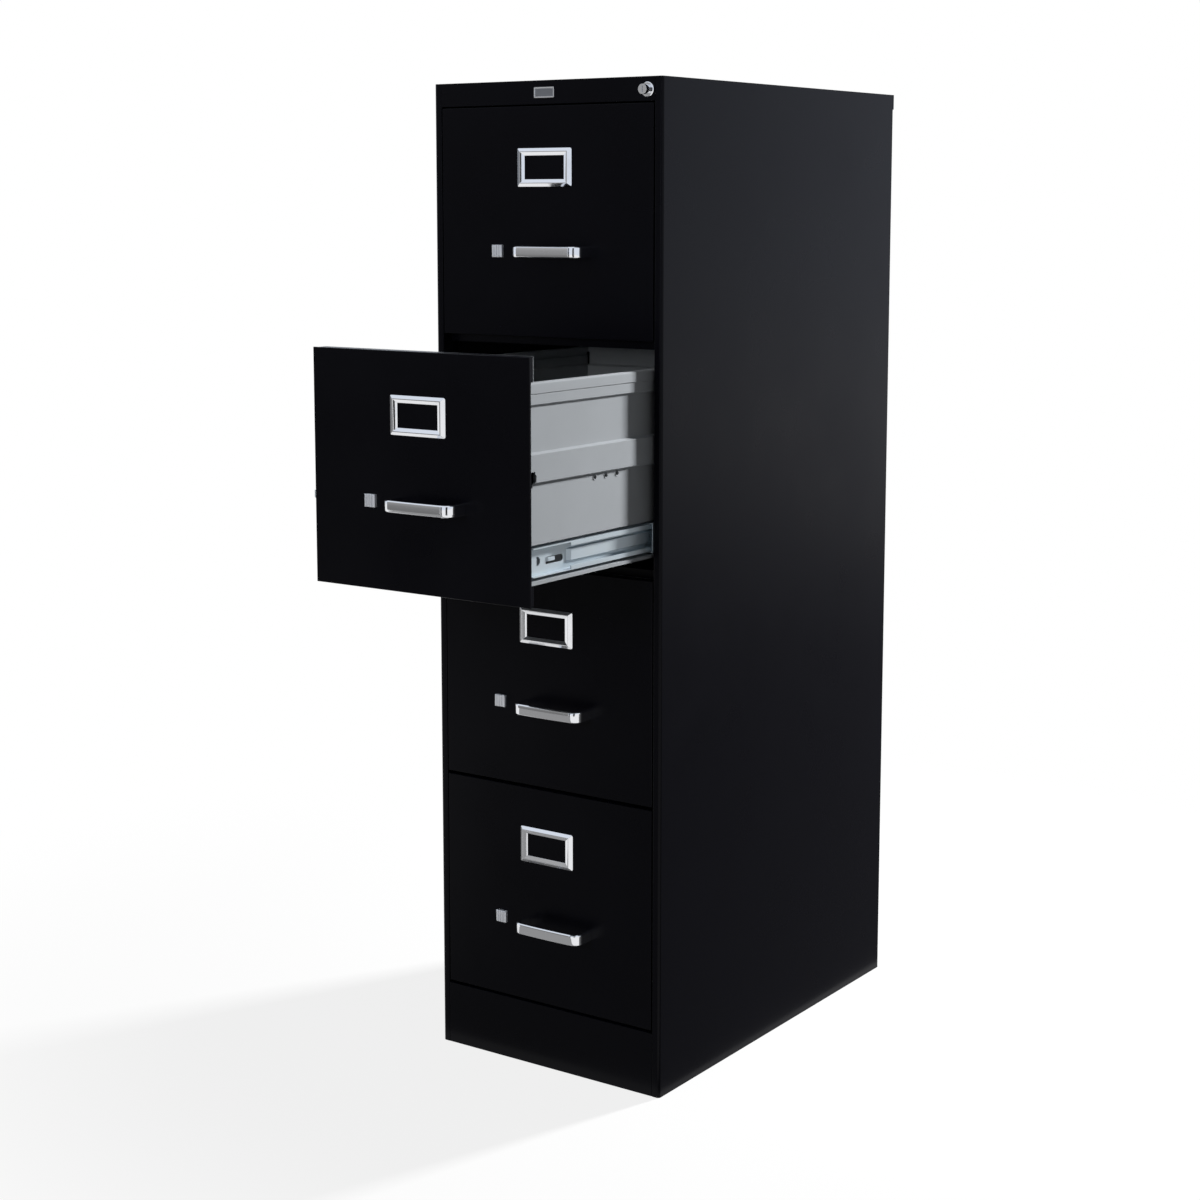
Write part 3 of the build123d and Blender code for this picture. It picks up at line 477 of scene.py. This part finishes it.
# Slots at the front of a drawer's slides, the short one and the long one: nearest and farthest edge
# behind the slides' front end, lowest and highest edge over their axis. The seen ones lie a little
# farther back than the solids'.
solid_slots = ((0.004, 0.008, -0.0065, 0.0065), (0.023, 0.051, -0.0005, 0.0065))
seen_slots = ((0.0185, 0.0255, -0.006, 0.005), (0.037, 0.072, -0.0062, 0.0025))
slot_reach = 0.001  # how far past a solid's slot a point still counts as its edge
slot_steps = 8  # along the round end of a slot
slot_slack = 0.0005  # of the drawer's side round the slots in its slides
solid_curl, seen_curl = 0.060, 0.076  # from the slides' front end to where their edges curl
curl_reach = 0.0005  # how far from there a point still belongs to the curls' ends


def slide_frame(n):
    """Front end, axis height and outer edge of a drawer's slides."""
    low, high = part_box(f"drawer_slides_{n}")
    return low.y, (low.z + high.z) / 2, high.x


def slots_closed(n):
    """A form that closes the solids' slots and starts the curled edges where the photo has them."""
    front, axis, outer = slide_frame(n)

    def in_slot(place):
        return any(
            near - slot_reach < place.y - front < far + slot_reach
            and bottom - slot_reach < place.z - axis < top + slot_reach
            for near, far, bottom, top in solid_slots
        )

    def form(shape):
        walls = [face for face in shape.faces if all(in_slot(vert.co) for vert in face.verts)]
        bmesh.ops.delete(shape, geom=walls, context="FACES")
        bmesh.ops.holes_fill(shape, edges=[edge for edge in shape.edges if edge.is_boundary], sides=0)
        for vert in shape.verts:
            if abs(vert.co.y - front - solid_curl) < curl_reach:
                vert.co.y = front + seen_curl
        merged(shape)

    return form


def slot_cutter(n, margin):
    """A mesh of the seen slots' insides, square at the front and round at the back, and a margin."""
    front, axis, outer = slide_frame(n)
    shape = bmesh.new()
    for near, far, bottom, top in seen_slots:
        middle, radius = axis + (bottom + top) / 2, (top - bottom) / 2 + margin
        outline = [(front + near - margin, middle - radius)]
        for step in range(slot_steps + 1):
            angle = math.pi * (step / slot_steps - 0.5)
            outline.append((
                front + far + margin - radius * (1 - math.cos(angle)), middle + radius * math.sin(angle),
            ))
        outline.append((front + near - margin, middle + radius))
        prism(shape, outline, -outer, outer)
    mesh = bpy.data.meshes.new("cutter")
    shape.to_mesh(mesh)
    shape.free()
    return mesh


def prism(shape, outline, start, end):
    """Adds a prism to a mesh: an outline of (y, z) carried along x from start to end."""
    rings = [[shape.verts.new((x, y, z)) for y, z in outline] for x in (start, end)]
    faces = [shape.faces.new(reversed(rings[0])), shape.faces.new(rings[1])]
    for k in range(len(outline)):
        after = (k + 1) % len(outline)
        faces.append(shape.faces.new((rings[0][k], rings[0][after], rings[1][after], rings[1][k])))
    bmesh.ops.recalc_face_normals(shape, faces=faces)


class CABINET_OT_drawers(bpy.types.Operator):
    """Give the drawer fronts, bodies, backs and inner fronts their edges and finishes"""

    bl_idname = "cabinet.drawers"
    bl_label = "Drawers"

    def execute(self, context):
        edges = context.scene.cabinet_edges
        for n in drawers:
            dressed(f"drawer_front_{n}", edges.case)
            dressed(f"drawer_body_{n}", edges.sheet, form=slots_closed(n), cutter=slot_cutter(n, slot_slack))
            for kind in ("inner_front", "back"):
                dressed(f"drawer_{kind}_{n}", edges.sheet)
        return {"FINISHED"}


class CABINET_OT_slides(bpy.types.Operator):
    """Give the telescoping slides and the posts that carry them their edges and finishes"""

    bl_idname = "cabinet.slides"
    bl_label = "Slides"

    def execute(self, context):
        edges = context.scene.cabinet_edges
        for node in ("slide_posts_front", "slide_posts_rear", "case_slides_left", "case_slides_right"):
            dressed(node, edges.sheet)
        for n in drawers:
            dressed(f"drawer_slides_{n}", edges.sheet, form=slots_closed(n), cutter=slot_cutter(n, 0))
            dressed(f"middle_slides_{n}", edges.sheet)
        return {"FINISHED"}


grip_parts = 16  # even parts along a grip that let it follow its bow
grip_rows = (-0.7, -0.5, -0.3, 0.3, 0.5, 0.7)  # rows up a grip for its crown, in half heights


def crowned(node, crown, bow):
    """A form that lets a handle's grip fall back towards its edges and ends, its feet left alone."""
    low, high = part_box(node)
    middle = (low + high) / 2
    half = (high - low) / 2

    def form(shape):
        for k in range(1, grip_parts):
            split(shape, (low.x + k * 2 * half.x / grip_parts, 0, 0), (1, 0, 0))
        for row in grip_rows:
            split(shape, (0, 0, middle.z + row * half.z), (0, 0, 1))
        for vert in shape.verts:
            reach = (high.y - vert.co.y) / (high.y - low.y)
            along, up = (vert.co.x - middle.x) / half.x, (vert.co.z - middle.z) / half.z
            vert.co.y += reach * (crown * abs(up) ** 3 + bow * along ** 2)

    return form


class CABINET_OT_handles(bpy.types.Operator):
    """Give the bow handles their crown and their polished edges"""

    bl_idname = "cabinet.handles"
    bl_label = "Handles"

    def execute(self, context):
        handles = context.scene.cabinet_handles
        for n in drawers:
            node = f"handle_{n}"
            dressed(node, context.scene.cabinet_edges.handle, segments=4,
                    form=crowned(node, handles.crown, handles.bow))
        return {"FINISHED"}


class CABINET_OT_label_holders(bpy.types.Operator):
    """Give the label holders their polished edges"""

    bl_idname = "cabinet.label_holders"
    bl_label = "Label Holders"

    def execute(self, context):
        for n in drawers:
            dressed(f"label_holder_{n}", context.scene.cabinet_edges.trim, segments=3)
        return {"FINISHED"}


spring_foot = 0.009  # length of a latch spring's fixed foot
spring_sheet = 0.0006  # and of its tip, which moves with the bolt
spring_parts = 8  # even parts between them


def sliced(start, end, parts):
    """A form that cuts a leaf spring into even parts between two x."""

    def form(shape):
        for k in range(1, parts):
            split(shape, (start + k * (end - start) / parts, 0, 0), (1, 0, 0))

    return form


class CABINET_OT_latches(bpy.types.Operator):
    """Give the thumb latches, their bolts and springs their edges"""

    bl_idname = "cabinet.latches"
    bl_label = "Thumb Latches"

    def execute(self, context):
        edges = context.scene.cabinet_edges
        for n in drawers:
            dressed(f"thumb_latch_{n}", edges.sheet, look="satin")
            dressed(f"latch_bar_{n}", edges.sheet)
            spring = f"latch_spring_{n}"
            low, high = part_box(spring)
            foot, tip = high.x - spring_foot, low.x + spring_sheet
            dressed(
                spring, edges.sheet / 2, form=sliced(tip, foot, spring_parts),
                bends=(f"drawer_{n}", f"latch_{n}", (foot, low.y, low.z), (tip, low.y, low.z)),
            )
        return {"FINISHED"}


class CABINET_OT_lock(bpy.types.Operator):
    """Give the lock, its crank and bar and the nameplate their edges"""

    bl_idname = "cabinet.lock"
    bl_label = "Lock and Nameplate"

    def execute(self, context):
        edges = context.scene.cabinet_edges
        for node in ("lock_housing", "lock_plunger", "lock_crank", "lock_bar"):
            dressed(node, edges.sheet)
        # The bare nameplate: a brushed field, which lies behind its polished border and faces forward
        plate = dressed("nameplate", edges.sheet)
        plate.data.materials.append(finish("spring_steel"))
        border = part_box("nameplate")[0].y + edges.sheet / 2
        for face in plate.data.polygons:
            if face.normal.y < -0.99 and face.center.y > border:
                face.material_index = 1
        return {"FINISHED"}


# Fasteners, dimples, lances and ribs


def trim(name, shape, width, body, slot):
    """Finishes a small piece: rounded edges, its slot's finish, and the body it rides on."""
    mesh = bpy.data.meshes.new(name)
    shape.to_mesh(mesh)
    shape.free()
    piece = link(name, mesh)
    edges = piece.modifiers.new("edges", "BEVEL")
    edges.width = width
    edges.segments = 2
    settle(piece)
    piece.data.materials.append(finish(slot))
    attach(piece, body)


def rivet_head(tree, given):
    """A low dome: the upper half of a flattened sphere shows, the lower half sits in the sheet."""
    ball = add(tree, "GeometryNodeMeshUVSphere", {
        "Segments": 16, "Rings": 10, "Radius": (given, "Radius"),
    })
    ratio = add(tree, "ShaderNodeMath", {0: (given, "Height"), 1: (given, "Radius")}, operation="DIVIDE")
    low = add(tree, "ShaderNodeCombineXYZ", {"X": 1.0, "Y": 1.0, "Z": (ratio, "Value")})
    dome = add(tree, "GeometryNodeTransform", {"Geometry": (ball, "Mesh"), "Scale": (low, "Vector")})
    return dome, "Geometry"


def dimple_ring(tree, given):
    """A raised ring whose lower half sits in the sheet."""
    round_it = add(tree, "GeometryNodeCurvePrimitiveCircle", {"Resolution": 24, "Radius": (given, "Radius")})
    wire = add(tree, "GeometryNodeCurvePrimitiveCircle", {"Resolution": 8, "Radius": (given, "Height")})
    ring = add(tree, "GeometryNodeCurveToMesh", {
        "Curve": (round_it, "Curve"), "Profile Curve": (wire, "Curve"),
    })
    return ring, "Mesh"


def row_tree(name, unit):
    """Geometry nodes that set a small form along lines at an even spacing.

    The unit is a function that adds the form's nodes and gives back its (node, output) pair.
    """
    tree = bpy.data.node_groups.new(name, "GeometryNodeTree")
    for socket, kind in (("Line", "NodeSocketGeometry"), ("Spacing", "NodeSocketFloat"),
                         ("Radius", "NodeSocketFloat"), ("Height", "NodeSocketFloat"),
                         ("Facing", "NodeSocketRotation"), ("Finish", "NodeSocketMaterial")):
        tree.interface.new_socket(socket, in_out="INPUT", socket_type=kind)
    tree.interface.new_socket("Row", in_out="OUTPUT", socket_type="NodeSocketGeometry")
    given = add(tree, "NodeGroupInput")
    line = add(tree, "GeometryNodeMeshToCurve", {"Mesh": (given, "Line")})
    places = add(tree, "GeometryNodeResampleCurve", {
        "Curve": (line, "Curve"), "Length": (given, "Spacing"),
    }, mode="LENGTH")
    copies = add(tree, "GeometryNodeInstanceOnPoints", {
        "Points": (places, "Curve"), "Instance": unit(tree, given), "Rotation": (given, "Facing"),
    })
    solid = add(tree, "GeometryNodeRealizeInstances", {"Geometry": (copies, "Instances")})
    smooth = add(tree, "GeometryNodeSetShadeSmooth", {"Geometry": (solid, "Geometry")})
    painted = add(tree, "GeometryNodeSetMaterial", {
        "Geometry": (smooth, "Geometry"), "Material": (given, "Finish"),
    })
    add(tree, "NodeGroupOutput", {"Row": (painted, "Geometry")})
    return tree


def grow(name, lines, tree, values, body):
    """A piece that a node tree grows along straight seams, as one plain mesh on one body."""
    mesh = bpy.data.meshes.new(name)
    ends = [end for line in lines for end in line]
    mesh.from_pydata(ends, [(k, k + 1) for k in range(0, len(ends), 2)], [])
    piece = link(name, mesh)
    maker = piece.modifiers.new("grow", "NODES")
    maker.node_group = tree
    for socket in tree.interface.items_tree:
        if socket.in_out == "INPUT" and socket.name in values:
            maker[socket.identifier] = values[socket.name]
    settle(piece)
    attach(piece, body)


rivet_inset = 0.008  # of the seams' rivets from the back panel's sides
rivets_low, rivets_high = 0.03, 0.04  # from the back panel's lower and upper edge to the seams' ends


class CABINET_OT_rivets(bpy.types.Operator):
    """Set the rivets along the back panel's seams"""

    bl_idname = "cabinet.rivets"
    bl_label = "Rivets"

    def execute(self, context):
        rivets = context.scene.cabinet_rivets
        low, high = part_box("back_panel")
        lines = [
            ((x, high.y, low.z + rivets_low), (x, high.y, high.z - rivets_high))
            for x in (low.x + rivet_inset, high.x - rivet_inset)
        ]
        grow("back_rivets", lines, row_tree("rivet_rows", rivet_head), {
            "Spacing": rivets.spacing, "Radius": rivets.radius, "Height": rivets.height,
            "Facing": (math.radians(-90), 0, 0), "Finish": finish("case_black"),
        }, "case")
        return {"FINISHED"}


# Where things lie on a drawer, from its slides' front end, outer edge and axis
hole_row = (0.126, 0.174)  # first and last folder-frame hole, back from the front end
hole_count = 3
hole_rise = 0.0905  # of the holes over the axis
side_inset = 0.0002  # from the outer edge in to the drawer's flat side
web_inset = 0.0093  # from the outer edge in to the face of the slides' web
lance_band = (-0.0028, 0.0021)  # heights that the lance fills in the long slot
lance_sheet, lance_rise, lance_ramp = 0.001, 0.0016, 0.003  # sheet, how far it stands out, its slope
rib_half, rib_crest, rib_height = 0.0085, 0.007, 0.0035  # half its width at foot and crest, height
rib_root = 0.0005  # how far its foot lies in the web
rib_start, rib_ramp, rib_end = 0.002, 0.006, 0.004  # behind the curl's start, slope, short of the end
rib_edge = 0.0008  # width of its rounded edges


class CABINET_OT_dimples(bpy.types.Operator):
    """Press the raised rings round the folder-frame holes in the drawers' sides"""

    bl_idname = "cabinet.dimples"
    bl_label = "Dimples"

    def execute(self, context):
        pressings = context.scene.cabinet_pressings
        rings = row_tree("dimple_rows", dimple_ring)
        # A hair under the even spacing, so that the last hole gets its ring too
        spacing = (hole_row[1] - hole_row[0]) / (hole_count - 1) - 1e-5
        for n in drawers:
            front, axis, outer = slide_frame(n)
            row = [(outer - side_inset, front + back, axis + hole_rise) for back in hole_row]
            grow(f"hole_dimples_{n}", [row], rings, {
                "Spacing": spacing, "Radius": pressings.dimple, "Height": pressings.dimple_height,
                "Facing": (0, math.radians(90), 0), "Finish": finish("drawer_grey"),
            }, f"drawer_{n}")
        return {"FINISHED"}


class CABINET_OT_lances(bpy.types.Operator):
    """Press the tabs out of the long slots in the drawers' slides"""

    bl_idname = "cabinet.lances"
    bl_label = "Slide Lances"

    def execute(self, context):
        length = context.scene.cabinet_pressings.lance
        for n in drawers:
            front, axis, outer = slide_frame(n)
            start, web = front + seen_slots[1][0], outer - web_inset
            crest = web + lance_rise
            # Seen from above: up the ramp, along the crest, and back one sheet lower
            plan = [
                (web - lance_sheet, start - lance_sheet), (web, start - lance_sheet),
                (crest, start + lance_ramp), (crest, start + length), (crest - lance_sheet, start + length),
                (crest - lance_sheet, start + lance_ramp), (web - lance_sheet, start),
            ]
            shape = bmesh.new()
            for sign in (1, -1):
                tab = [
                    [shape.verts.new((sign * x, y, axis + z)) for x, y in plan] for z in lance_band
                ]
                shape.faces.new(tab[0])
                shape.faces.new(reversed(tab[1]))
                for k in range(len(plan)):
                    after = (k + 1) % len(plan)
                    shape.faces.new((tab[0][k], tab[1][k], tab[1][after], tab[0][after]))
            bmesh.ops.recalc_face_normals(shape, faces=shape.faces)
            trim(f"slide_lances_{n}", shape, context.scene.cabinet_edges.sheet, f"drawer_{n}", "zinc")
        return {"FINISHED"}


class CABINET_OT_ribs(bpy.types.Operator):
    """Press the raised rib along the web of each drawer's slides, which stiffens it between the curls"""

    bl_idname = "cabinet.ribs"
    bl_label = "Slide Ribs"

    def execute(self, context):
        for n in drawers:
            front, axis, outer = slide_frame(n)
            start, back = front + seen_curl + rib_start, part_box(f"drawer_slides_{n}")[1].y - rib_end
            web = outer - web_inset
            foot = web - rib_root
            shape = bmesh.new()
            for sign in (1, -1):
                # It starts flat, is at full height after its slope, and ends square
                rings = []
                for y, rise in ((start, 0), (start + rib_ramp, rib_height), (back, rib_height)):
                    crest = web + rise
                    section = ((foot, -rib_half), (crest, -rib_crest), (crest, rib_crest), (foot, rib_half))
                    rings.append([shape.verts.new((sign * x, y, axis + z)) for x, z in section])
                for near, far in zip(rings, rings[1:]):
                    for k in range(len(near)):
                        after = (k + 1) % len(near)
                        shape.faces.new((near[k], near[after], far[after], far[k]))
                shape.faces.new(rings[0])
                shape.faces.new(rings[-1])
            bmesh.ops.recalc_face_normals(shape, faces=shape.faces)
            trim(f"slide_ribs_{n}", shape, rib_edge, f"drawer_{n}", "zinc")
        return {"FINISHED"}


# Stage

card_height = 2.6
card_rise = 0.002  # of the lying cards over the floor


def upright(start, end):
    """Corners of a standing card between two points of the floor."""
    return [(*start, 0), (*end, 0), (*end, card_height), (*start, card_height)]


def lying(*corners):
    """Corners of a card that lies on the floor."""
    return [(*corner, card_rise) for corner in corners]


# Grey cards that only reflections see: they darken the fronts and the side's foot, and draw lines in
# the metal. Each has its shade, the share of that at its foot, and its corners.
cards = (
    ("card_left", 1.7, 0.45, upright((-1.3, -3.0), (-3.0, -2.2))),
    ("card_front", 0.25, 0.45, upright((-0.45, -3.2), (-1.2, -3.2))),
    ("card_bend", 0.25, 0.45, upright((1.35, -3.0), (2.1, -2.6))),
    ("card_floor_left", 1.3, 1.0, lying((0.19, -0.33), (-0.25, -0.33), (-2.6, -3.2), (-0.3, -3.2))),
    ("card_floor_right", 0.75, 1.0, lying((0.19, -0.35), (4.4, -0.35), (4.4, 4.3), (0.19, 4.3))),
)
card_foot, card_middle = 0.3, 1.8  # heights between which a standing card brightens

# Square lamps: place, edge, and share of the key lamp's power. The one at the rear is the key and grazes
# the open drawer's side, the others fill. All of them look at the middle of the cabinet.
lamps = (
    ("rear", (1.32, 3.2, 2.1), 0.35, 1.0),
    ("right", (2.6, -1.2, 3.0), 2.4, 0.004),
    ("over", (-0.6, -2.2, 3.2), 1.6, 0.03),
    ("front", (0.1, -3.2, 1.45), 0.6, 0.045),
)
cabinet_middle = (0, -0.1, 0.7)

floor_reach = 12.0  # from the cabinet to the floor's edges
inner_rise = 0.001  # of the dark patch inside the base over the floor
base_flange = 0.004  # from the base's outer face in to the dark patch
white = linear("#ffffff")
cool_white = linear("#e9f0fb")  # the surround as reflections see it
matt = {"Base Color": linear("#5c5c5c"), "Roughness": 0.9, "Specular IOR Level": 0.0}  # the floor, unlifted


def flat(name, corners, material):
    """An object of one flat face."""
    mesh = bpy.data.meshes.new(name)
    mesh.from_pydata(corners, [], [tuple(range(len(corners)))])
    mesh.materials.append(material)
    return link(name, mesh)


def oblong(x, y, z):
    """Corners of a level face round the origin, from its half width, half depth and height."""
    return [(-x, -y, z), (x, -y, z), (x, y, z), (-x, y, z)]


def in_view(tree):
    """The light path, and a value that is 1 for what the camera or a reflection sees."""
    ray = add(tree, "ShaderNodeLightPath")
    return ray, add(tree, "ShaderNodeMath", {
        0: (ray, "Is Camera Ray"), 1: (ray, "Is Glossy Ray"),
    }, operation="MAXIMUM")


def surround(fill):
    """White surround for the camera and for reflections, even fill light for the rest."""
    world = bpy.data.worlds.new("white_surround")
    world.use_nodes = True
    tree = world.node_tree
    tree.nodes.clear()
    ray, either = in_view(tree)
    shown = add(tree, "ShaderNodeMath", {
        0: (either, "Value"), 1: (ray, "Is Transmission Ray"),
    }, operation="MAXIMUM")
    strength = add(tree, "ShaderNodeMapRange", {"Value": (shown, "Value"), "To Min": fill, "To Max": 1.0})
    tone = add(tree, "ShaderNodeMix", {0: (ray, "Is Glossy Ray"), 6: white, 7: cool_white}, data_type="RGBA")
    light = add(tree, "ShaderNodeBackground", {"Color": (tone, 2), "Strength": (strength, "Result")})
    add(tree, "ShaderNodeOutputWorld", {"Surface": (light, "Background")})
    return world


def pale_floor(raised):
    """Matt floor, raised towards white. It keeps the shadow near the cabinet and is white farther out."""
    made, tree = new_material("pale_floor")
    ray, shown = in_view(tree)
    lift = add(tree, "ShaderNodeMath", {0: (shown, "Value"), 1: raised}, operation="MULTIPLY")
    near = add(tree, "ShaderNodeBsdfPrincipled", {
        **matt, "Emission Color": white, "Emission Strength": (lift, "Value"),
    })
    far = add(tree, "ShaderNodeEmission", {"Color": white, "Strength": 1.0})
    # The change lies between 0.6 and 1.5 m from the cabinet's middle
    place = add(tree, "ShaderNodeTexCoord")
    away = add(tree, "ShaderNodeVectorMath", {0: (place, "Object")}, operation="LENGTH")
    fade = add(tree, "ShaderNodeMapRange", {
        "Value": (away, "Value"), "From Min": 0.6, "From Max": 1.5,
    }, interpolation_type="SMOOTHSTEP")
    faded = add(tree, "ShaderNodeMath", {0: (shown, "Value"), 1: (fade, "Result")}, operation="MULTIPLY")
    surface = add(tree, "ShaderNodeMixShader", {
        0: (faded, "Value"), 1: (near, "BSDF"), 2: (far, "Emission"),
    })
    add(tree, "ShaderNodeOutputMaterial", {"Surface": (surface, "Shader")})
    return made


def covered_floor():
    """The floor inside the base's open ring, which is seen through gaps: matt and without any lift."""
    made, tree = new_material("covered_floor")
    surface = add(tree, "ShaderNodeBsdfPrincipled", matt)
    add(tree, "ShaderNodeOutputMaterial", {"Surface": (surface, "BSDF")})
    return made


def card_light(name, shade, foot):
    """Light of a card: its shade from its middle up, and a share of that at its foot."""
    made, tree = new_material(name)
    place = add(tree, "ShaderNodeTexCoord")
    height = add(tree, "ShaderNodeSeparateXYZ", {"Vector": (place, "Object")})
    lit = add(tree, "ShaderNodeMapRange", {
        "Value": (height, "Z"), "From Min": card_foot, "From Max": card_middle,
        "To Min": shade * foot, "To Max": shade,
    })
    grey = add(tree, "ShaderNodeEmission", {"Color": white, "Strength": (lit, "Result")})
    add(tree, "ShaderNodeOutputMaterial", {"Surface": (grey, "Emission")})
    return made


class CABINET_OT_stage(bpy.types.Operator):
    """Set the pale floor, the white surround, the cards, the lamps and the camera"""

    bl_idname = "cabinet.stage"
    bl_label = "Stage"

    def execute(self, context):
        scene = context.scene
        stage = scene.cabinet_stage
        scene.view_settings.view_transform = "Standard"
        scene.world = surround(stage.fill)

        flat("floor", oblong(floor_reach, floor_reach, 0), pale_floor(stage.lift))
        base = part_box("base_frame")[1]
        inside = oblong(base.x - base_flange, base.y - base_flange, inner_rise)
        flat("floor_inside", inside, covered_floor())

        for name, shade, foot, corners in cards:
            card = flat(name, corners, card_light(name, shade * stage.card, foot))
            for kind in ("camera", "diffuse", "transmission", "volume_scatter", "shadow"):
                setattr(card, f"visible_{kind}", False)

        for name, place, size, share in lamps:
            lamp = bpy.data.lights.new(name, "AREA")
            lamp.shape = "SQUARE"
            lamp.size = size
            lamp.energy = stage.key * share
            lit = bpy.data.objects.new(name, lamp)
            scene.collection.objects.link(lit)
            lit.location = place
            aim = Vector(cabinet_middle) - Vector(place)
            lit.rotation_euler = aim.to_track_quat("-Z", "Y").to_euler()
            lit.visible_glossy = False

        # The camera stands in front and to the right, a little below the cabinet's top, and looks
        # slightly down
        eye = bpy.data.cameras.new("camera")
        eye.sensor_width = 36.0
        eye.lens = 65.9
        eye.shift_y = -0.0792
        camera = bpy.data.objects.new("camera", eye)
        scene.collection.objects.link(camera)
        camera.location = (1.6917, -2.607, 1.1667)
        camera.rotation_euler = (math.pi / 2 - 0.1371, 0, 0.6091)
        scene.camera = camera
        return {"FINISHED"}


# Panel and registration


class CABINET_PT_panel(bpy.types.Panel):
    """Lists the cabinet's pieces and their values"""

    bl_label = "Vertical Filing Cabinet"
    bl_idname = "CABINET_PT_panel"
    bl_space_type = "VIEW_3D"
    bl_region_type = "UI"
    bl_category = "Cabinet"

    def draw(self, context):
        for group in groups:
            box = self.layout.box()
            values = getattr(context.scene, group)
            for name in values.__annotations__:
                box.prop(values, name)
        for piece in pieces:
            self.layout.operator(piece.bl_idname)


groups = {
    "cabinet_finishes": CabinetFinishes, "cabinet_edges": CabinetEdges,
    "cabinet_handles": CabinetHandles, "cabinet_pressings": CabinetPressings,
    "cabinet_rivets": CabinetRivets, "cabinet_stage": CabinetStage,
}
pieces = (
    CABINET_OT_case, CABINET_OT_drawers, CABINET_OT_slides, CABINET_OT_handles,
    CABINET_OT_label_holders, CABINET_OT_latches, CABINET_OT_lock, CABINET_OT_rivets,
    CABINET_OT_dimples, CABINET_OT_lances, CABINET_OT_ribs, CABINET_OT_stage,
)


def register():
    for made in (*groups.values(), *pieces, CABINET_PT_panel):
        bpy.utils.register_class(made)
    for name, group in groups.items():
        setattr(bpy.types.Scene, name, PointerProperty(type=group))


def unregister():
    for name in groups:
        delattr(bpy.types.Scene, name)
    for made in reversed((*groups.values(), *pieces, CABINET_PT_panel)):
        bpy.utils.unregister_class(made)


def main():
    register()
    for piece in pieces:
        group, name = piece.bl_idname.split(".")
        getattr(getattr(bpy.ops, group), name)()


if __name__ == "__main__":
    main()
